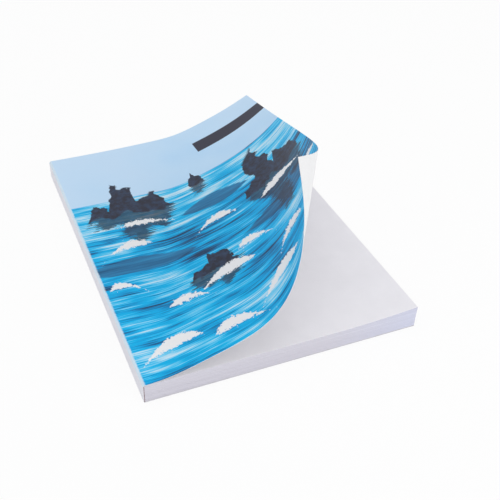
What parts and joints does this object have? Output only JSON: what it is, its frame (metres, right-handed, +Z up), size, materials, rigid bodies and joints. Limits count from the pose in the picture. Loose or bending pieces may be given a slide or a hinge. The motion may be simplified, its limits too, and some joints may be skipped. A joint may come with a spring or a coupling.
{
  "type": "writing pad",
  "caption": "Side-glued writing pad of blank sheets on a stiff board, in a thin printed card cover that wraps the spine and curls up at its free side.",
  "frame": {"origin": "middle of the flat underside of the pad, on the table", "axes": "+X from the glued spine to the free fore edge, +Y along the spine from the near end to the far end, +Z up out of the sheets"},
  "size_m": [0.2108, 0.2993, 0.1422],
  "materials": {
    "sheets": "matte",
    "board": "matte",
    "glue": "satin",
    "cover_card": "satin"
  },
  "bodies": {
    "pad": {"page_block": "sheets", "backing_board": "board", "spine_glue": "glue", "wrap_cover": "cover_card"},
    "cover": {"front_cover": "cover_card"}
  },
  "joints": [
    {"name": "cover_hinge", "type": "hinge", "parent": "pad", "child": "cover", "pos_m": [-0.10355, 0, 0.0163], "axis": [0, -1, 0], "range_deg": [0, 145]}
  ]
}
